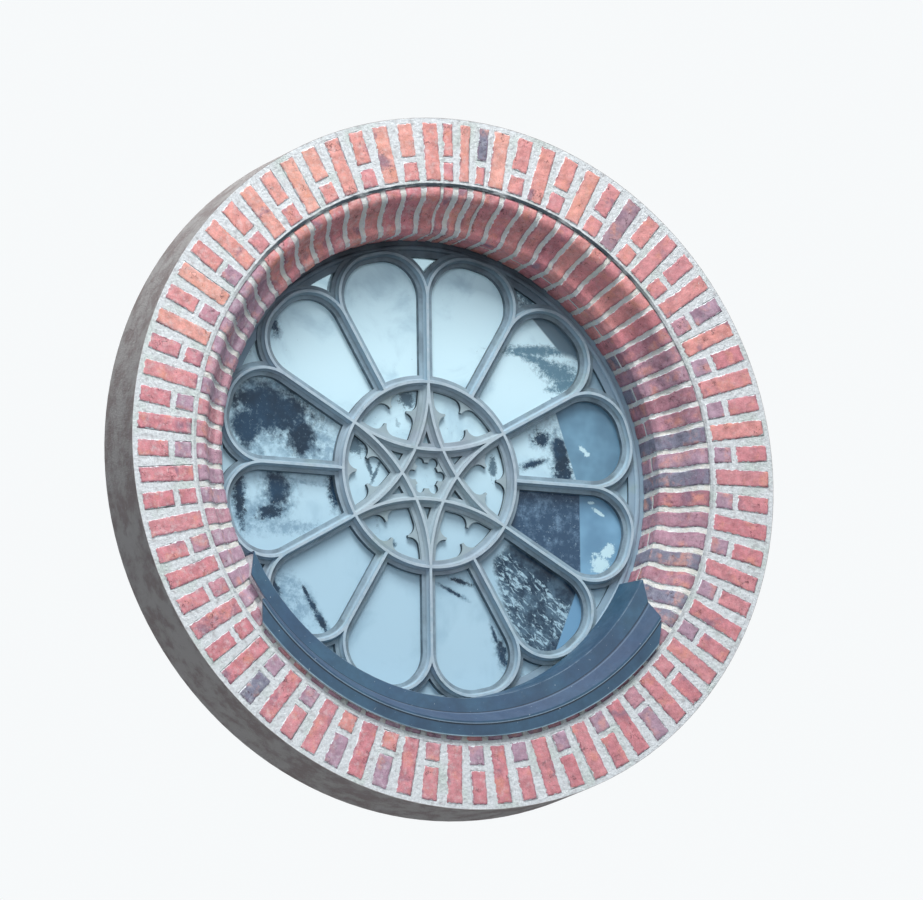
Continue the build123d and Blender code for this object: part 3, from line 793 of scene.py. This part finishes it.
class BrickSet:
    """Mesh that gathers the bricks of one kind."""

    def __init__(self, name, slot):
        self.name = name
        self.slot = slot
        self.points = []
        self.faces = []
        self.tones = []
        self.edges = []

    def add(self, points, faces, edges, tone):
        """Add one closed brick, with points in millimetres."""
        base = len(self.points)
        self.points += [(x / 1000, y / 1000, z / 1000) for x, y, z in points]
        self.faces += [[base + k for k in face] for face in faces]
        self.edges += edges
        self.tones += [tone] * len(points)

    def build(self, material, node):
        """Turn the set into a piece that stands for the CAD node."""
        mesh = bpy.data.meshes.new(self.name)
        mesh.from_pydata(self.points, [], self.faces)
        mesh.validate()
        tones = mesh.attributes.new("tone", "FLOAT_COLOR", "POINT")
        tones.data.foreach_set("color", [value for tone in self.tones for value in colour(*tone)])
        edges = mesh.attributes.new("edge", "FLOAT", "POINT")
        edges.data.foreach_set("value", self.edges)
        mesh.polygons.foreach_set("use_smooth", [len(face) == 4 for face in self.faces])
        mesh.materials.append(material)
        piece = bpy.data.objects.new(self.name, mesh)
        bpy.context.scene.collection.objects.link(piece)
        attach(piece, "root")
        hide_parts(node)


def draw(seed, first, second):
    """Fixed draw from -1 to 1 for a brick; the two numbers keep its draws apart."""
    return rough((seed, first, second), 1.0)


def waves(point, layers, start=0.0):
    """Sum of noises at a point, on top of a start; each layer is height, wave length and seed."""
    height = start
    for amount, scale, seed in layers:
        height += amount * rough(point, scale, seed)
    return height


def rounding(distance, radius):
    """How far a worn edge drops at a distance from it."""
    if distance >= radius:
        return 0.0
    return radius - sqrt(radius**2 - (radius - distance) ** 2)


def grid_faces(across, along):
    """Quads of a grid of points."""
    faces = []
    for i in range(along - 1):
        for j in range(across - 1):
            a = i * across + j
            faces.append([a, a + 1, a + across + 1, a + across])
    return faces


def plain_brick(brick_set, ring, number, start, length):
    """One radial brick of the outer ring, from its worn face back to the wall's depth."""
    seed = ring * 13.7 + number * 1.37
    angle = radians(voussoir_centre(number) + plain_turn * draw(seed, 3, 5))
    width = closing_brick_width if is_closing(number) else brick_width
    width += plain_width_change * draw(seed, 8, 2)
    start += plain_start_change * draw(seed, 1, 9)
    stand = plain_stand * draw(seed, 4, 4)
    worn = plain_worn_edge + plain_worn_change * draw(seed, 6, 1)
    us = rows(length)
    vs = rows(width)
    points = []
    edges = []
    for u in us:
        for v in vs:
            side = min(v, width - v)
            end = min(u, length - u)
            local = (start + u, v, seed * plain_seed_step)
            drop = min(worn, rounding(side, worn) + rounding(end, worn))
            lost = max(0.0, rough(local, *corner_noise)) * corner_loss
            corner = max(0.0, corner_reach - hypot(side, end)) * lost
            y = waves(local, plain_face_waves, stand + drop + corner)
            r = start + u + waves(local, plain_end_waves)
            t = v - width / 2 + waves(local, plain_side_waves)
            points.append((r * cos(angle) - t * sin(angle), y, r * sin(angle) + t * cos(angle)))
            edges.append(min(side, end))
    across, along = len(vs), len(us)
    faces = grid_faces(across, along)
    border = list(range(across))
    border += [i * across + across - 1 for i in range(1, along)]
    border += [(along - 1) * across + j for j in range(across - 2, -1, -1)]
    border += [i * across for i in range(along - 2, 0, -1)]
    count = len(points)
    for k in border:
        points.append((points[k][0], reveal_depth, points[k][2]))
        edges.append(behind_face)
    total = len(border)
    for k in range(total):
        after = (k + 1) % total
        faces.append([border[after], border[k], count + k, count + after])
    faces.append([count + k for k in range(total)])
    brick_set.add(points, [face[::-1] for face in faces], edges, tone_of(ring, number))


def mould_line():
    """Visible line of a moulded brick in the radius and depth plane, from the ring joint inwards."""
    turn = radians(slope_angle)
    line = [(moulded_ring_radius, moulded_ring_setback), (shoulder_start, moulded_ring_setback)]
    for k in range(1, bend_steps + 1):
        step = turn * k / bend_steps
        radius = shoulder_start - shoulder_bend * sin(step)
        line.append((radius, moulded_ring_setback + shoulder_bend * (1 - cos(step))))
    foot = (line[-1][0] - slope_length * cos(turn), line[-1][1] + slope_length * sin(turn))
    line.append(foot)
    control = (foot[0] - hollow_reach * cos(turn), foot[1] + hollow_reach * sin(turn))
    shelf = (shelf_radius, shelf_depth)
    for k in range(1, bend_steps):
        blend = k / bend_steps
        a = (1 - blend) ** 2
        b = 2 * blend * (1 - blend)
        c = blend**2
        line.append(tuple(a * p + b * q + c * r for p, q, r in zip(foot, control, shelf)))
    arris = (arris_radius, shelf_depth + arris_fall)
    return [*line, shelf, arris, (reveal_radius, arris_depth)]


def even_steps(line, step):
    """Points at even steps along a line, with the distance run to each."""
    out = [(line[0], 0.0)]
    run = 0.0
    for a, b in zip(line, line[1:]):
        length = hypot(b[0] - a[0], b[1] - a[1])
        count = max(1, round(length / step))
        for k in range(1, count + 1):
            point = tuple(p + (q - p) * k / count for p, q in zip(a, b))
            out.append((point, run + length * k / count))
        run += length
    return out


def ring_brick(brick_set, ring, number, line, back_line):
    """One brick of the moulded ring: its visible line turned about the axis, closed behind."""
    seed = ring * 9.1 + number * 1.73
    half = radians(closing_moulded_angle if is_closing(number) else moulded_brick_angle) / 2
    middle = radians(voussoir_centre(number) + moulded_turn * draw(seed, 2, 7))
    worn = moulded_worn_edge + moulded_worn_change * draw(seed, 5, 3)
    stand = moulded_stand * draw(seed, 9, 9)
    steps = even_steps(line, grid_step)
    columns = rows(2 * half * moulded_middle_radius)
    shares = [column / columns[-1] * 2 - 1 for column in columns]
    points = []
    edges = []
    for k, ((r, y), run) in enumerate(steps):
        before = steps[max(k - 1, 0)][0]
        after = steps[min(k + 1, len(steps) - 1)][0]
        slope = hypot(after[0] - before[0], after[1] - before[1])
        inward = ((after[1] - before[1]) / slope, -(after[0] - before[0]) / slope)
        for share in shares:
            side = (1 - abs(share)) * half * r
            local = (r, y, share * half * moulded_middle_radius + seed * moulded_seed_step)
            drop = rounding(side, worn) + rounding(run, worn) * face_end_rounding
            drop = waves(local, moulded_face_waves, min(worn, drop) + stand)
            theta = middle + share * half + waves(local, moulded_side_waves) / r
            radius = r + inward[0] * drop
            points.append((radius * cos(theta), y + inward[1] * drop, radius * sin(theta)))
            edges.append(min(side, run if line[0][0] > shoulder_start else behind_face))
    for r, y in back_line:
        for share in shares:
            theta = middle + share * half
            points.append((r * cos(theta), y, r * sin(theta)))
            edges.append(behind_face)
    across = len(shares)
    along = len(steps) + len(back_line)
    faces = grid_faces(across, along)
    last = (along - 1) * across
    faces += [[last + j, last + j + 1, j + 1, j] for j in range(across - 1)]
    faces.append([i * across for i in range(along)])
    faces.append([i * across + across - 1 for i in range(along - 1, -1, -1)])
    brick_set.add(points, [face[::-1] for face in faces], edges, tone_of(ring, number))


def build_bricks():
    """All six kinds of brick."""
    face = mould_line()
    long_line = [*face, (reveal_radius, reveal_depth)]
    short_line = [*face, (reveal_radius, short_brick_depth)]
    closer_line = [(reveal_radius, closer_front), (reveal_radius, reveal_depth)]
    long_back = [(moulded_ring_radius, reveal_depth)]
    short_back = [(moulded_ring_radius, short_brick_depth)]
    closer_back = [(moulded_ring_radius, reveal_depth), (moulded_ring_radius, closer_front)]
    sets = {
        "outer_long_bricks": BrickSet("worn_long_bricks", "brick_outer_long"),
        "outer_header_bricks": BrickSet("worn_header_bricks", "brick_outer_header"),
        "outer_closers": BrickSet("worn_closer_bricks", "brick_outer_closer"),
        "moulded_long_bricks": BrickSet("worn_moulded_long", "brick_moulded_long"),
        "moulded_short_bricks": BrickSet("worn_moulded_short", "brick_moulded_short"),
        "reveal_closers": BrickSet("worn_reveal_closers", "brick_reveal"),
    }
    header_length = outer_ring_start + outer_ring_length - header_start
    for k in range(voussoir_count):
        if k % 2 == 0:
            plain_brick(sets["outer_long_bricks"], long_ring, k, outer_ring_start, outer_ring_length)
            ring_brick(sets["moulded_long_bricks"], moulded_long_ring, k, long_line, long_back)
        else:
            plain_brick(sets["outer_header_bricks"], header_ring, k, header_start, header_length)
            plain_brick(sets["outer_closers"], closer_ring, k, outer_ring_start, closer_length)
            ring_brick(sets["moulded_short_bricks"], moulded_short_ring, k, short_line, short_back)
            ring_brick(sets["reveal_closers"], reveal_ring, k, closer_line, closer_back)
    for node, brick_set in sets.items():
        smear = plain_smear if node.startswith("outer") else moulded_smear
        brick_set.build(brick_material(brick_set.slot, smear), node)


def make_rim_roll(material):
    """Thin roll moulding round the face of the outer rim, bedded in it by half a millimetre."""
    points = []
    for k in range(roll_turns):
        angle = 2 * pi * k / roll_turns
        for j in range(roll_steps):
            part = pi * j / (roll_steps - 1)
            r = (roll_inner + roll_outer) / 2 - (roll_outer - roll_inner) / 2 * cos(part)
            points.append((r * cos(angle), roll_back - roll_rise * sin(part), r * sin(angle)))
    faces = []
    for k in range(roll_turns):
        here, after = k * roll_steps, (k + 1) % roll_turns * roll_steps
        for j in range(roll_steps):
            beside = (j + 1) % roll_steps
            faces.append([here + j, after + j, after + beside, here + beside])
    mesh = bpy.data.meshes.new("rim_roll")
    mesh.from_pydata(points, [], faces)
    mesh.polygons.foreach_set("use_smooth", [True] * len(faces))
    mesh.materials.append(material)
    roll = bpy.data.objects.new("rim_roll", mesh)
    bpy.context.scene.collection.objects.link(roll)
    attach(roll, "root")


def dress(names, material):
    """Give CAD nodes a finished material."""
    for name in names:
        for slot in nodes[name].material_slots:
            slot.material = material


def starting(word):
    """CAD nodes whose names start with a word."""
    return [name for name in nodes if name.startswith(word)]


# Paint, its grime and painted shade in the corners, the painted shade under the crown and the edge of
# the painted shade next to the glass
pale_paint = colour(160, 188, 204)
leaf_paint = colour(158, 178, 186)
leaf_look = {"grime_and_shade_strength": 0.0, "inner_edge": leaf_edge, "shade": 1.0}
rim_look = {"grime_and_shade_strength": 0.0, "crown_shade": 0.92, "inner_edge": rim_edge}

# The object
build_bricks()
dress(["outer_ring_mortar"], mortar_material("mortar"))
dress(["moulded_ring_joints"], mortar_material("joint_mortar", joint=True))
dress(["sill_haunch"], mortar_material("haunch_mortar"))
dress(["flashing_upper"],
      sheet_material("sheet_upper", colour(48, 76, 103), colour(56, 90, 114), upper_sheet_edge))
dress(["flashing_apron"],
      sheet_material("sheet_apron", colour(48, 74, 99), colour(56, 88, 112), apron_radius))
dress(starting("petal_head"), paint_material("painted_head", pale_paint, crown_shade=0.78))
dress(starting("spoke"), paint_material("painted_spoke", pale_paint, grime_and_shade_strength=0.8))
dress(starting("cusped_leaf"), paint_material("painted_leaf", leaf_paint, **leaf_look))
dress(["foiled_eye"], paint_material("painted_eye", leaf_paint, **leaf_look))
dress(["hub_ring"], paint_material("painted_hub", colour(160, 182, 196), grime_and_shade_strength=0.55))
dress(["star_tracery"], paint_material("painted_star", colour(168, 188, 198), grime_and_shade_strength=0.45))
dress(["outer_rim"], paint_material("painted_rim", colour(144, 170, 188), **rim_look))
dress(["petal_beads", "spandrel_beads", "hub_bead"],
      paint_material("painted_bead", colour(146, 166, 184), grime_and_shade_strength=0.3))
dress(["petal_panes"], petal_glass_material())
dress(["spandrel_panes"], plain_glass_material("glass_spandrel"))
dress(["hub_pane"], plain_glass_material("glass_hub"))
dress(["frame_screws"], steel_material())
make_rim_roll(paint_material("painted_roll", colour(150, 176, 194), **rim_look))


# Floor, world, lights and camera

light_target = (0, 0.1, 0)
world_tint = (0.82, 0.9, 1.0, 1.0)
backdrop_tint = (0.93, 0.95, 0.96, 1.0)
world_strength = {"From Min": -0.6, "From Max": 0.7, "To Min": 0.05, "To Max": 0.55}


def make_floor():
    """Pale floor behind and below the window."""
    mesh = bpy.data.meshes.new("floor")
    left, right, front, back, level = -7.0, 7.0, -1.25, 8.0, -1.6
    corners = [(left, front, level), (right, front, level), (right, back, level), (left, back, level)]
    mesh.from_pydata(corners, [], [(0, 1, 2, 3)])
    shader = Shader("floor", roughness=0.9)
    cloudy = shader.ramp(shader.noise(3), 0.3, 0.7, 0.98, 1.0)
    seen = shader.tree.nodes.new("ShaderNodeLightPath").outputs["Is Camera Ray"]
    pale = shader.mix(seen, colour(150, 152, 154), colour(236, 238, 240))
    mesh.materials.append(shader.finish(shader.shade(pale, cloudy)))
    floor = bpy.data.objects.new("floor", mesh)
    bpy.context.scene.collection.objects.link(floor)


def make_world():
    """Soft light from above, and a pale backdrop for camera, glossy and transmission rays."""
    world = bpy.data.worlds.new("studio")
    world.use_nodes = True
    tree = world.node_tree
    light = tree.nodes["Background"]
    light.inputs["Color"].default_value = world_tint
    heading = tree.nodes.new("ShaderNodeSeparateXYZ")
    tree.links.new(tree.nodes.new("ShaderNodeTexCoord").outputs["Generated"], heading.inputs[0])
    height = tree.nodes.new("ShaderNodeMapRange")
    for name, value in world_strength.items():
        height.inputs[name].default_value = value
    tree.links.new(heading.outputs[2], height.inputs["Value"])
    tree.links.new(height.outputs[0], light.inputs["Strength"])
    pale = tree.nodes.new("ShaderNodeBackground")
    pale.inputs["Color"].default_value = backdrop_tint
    path = tree.nodes.new("ShaderNodeLightPath")
    seen = path.outputs["Is Camera Ray"]
    for other in ("Is Glossy Ray", "Is Transmission Ray"):
        either = tree.nodes.new("ShaderNodeMath")
        either.operation = "MAXIMUM"
        tree.links.new(seen, either.inputs[0])
        tree.links.new(path.outputs[other], either.inputs[1])
        seen = either.outputs[0]
    blend = tree.nodes.new("ShaderNodeMixShader")
    tree.links.new(seen, blend.inputs[0])
    tree.links.new(light.outputs[0], blend.inputs[1])
    tree.links.new(pale.outputs[0], blend.inputs[2])
    tree.links.new(blend.outputs[0], tree.nodes["World Output"].inputs[0])
    bpy.context.scene.world = world


def aim(thing, place, target):
    """Place a light and turn it to a target."""
    thing.location = place
    thing.rotation_euler = (Vector(target) - Vector(place)).to_track_quat("-Z", "Y").to_euler()


def make_light(name, place, size, power, tint):
    """Large soft light aimed at the window."""
    data = bpy.data.lights.new(name, "AREA")
    data.shape = "RECTANGLE"
    data.size = size[0]
    data.size_y = size[1]
    data.energy = power
    data.color = tint
    light = bpy.data.objects.new(name, data)
    bpy.context.scene.collection.objects.link(light)
    aim(light, place, light_target)


def make_camera():
    """Long lens at the photograph's viewing angle."""
    az, el, roll = radians(camera_azimuth), radians(camera_elevation), radians(camera_roll)
    back = Vector((sin(az) * cos(el), -cos(az) * cos(el), sin(el)))
    level = Vector((cos(az), sin(az), 0))
    upright = back.cross(level)
    right = level * cos(roll) + upright * sin(roll)
    up = upright * cos(roll) - level * sin(roll)
    across = (centre_pixel[0] - photo_width / 2) / focal_pixels
    rise = -(centre_pixel[1] - photo_height / 2) / focal_pixels
    place = Vector((0, ridge_depth, 0)) + (back - right * across - up * rise) * camera_distance
    data = bpy.data.cameras.new("camera")
    data.sensor_fit = "HORIZONTAL"
    data.sensor_width = sensor_width
    data.lens = focal_pixels / photo_width * sensor_width
    data.clip_start = 1.0
    data.clip_end = 200.0
    camera = bpy.data.objects.new("camera", data)
    camera.matrix_world = Matrix.Translation(place) @ Matrix((right, up, back)).transposed().to_4x4()
    bpy.context.scene.collection.objects.link(camera)
    bpy.context.scene.camera = camera


make_floor()
make_world()
make_light("key", (-1.5, -5.7, 8.8), (5.4, 4.0), 1260, (1.0, 0.99, 0.97))
make_light("fill", (-2.6, -5.0, 1.2), (3.0, 3.0), 70, (0.92, 0.96, 1.0))
make_light("back", (1.5, 5.5, 3.0), (3.0, 2.0), 250, (1.0, 1.0, 1.0))
make_camera()
bpy.context.scene.view_settings.view_transform = "Standard"
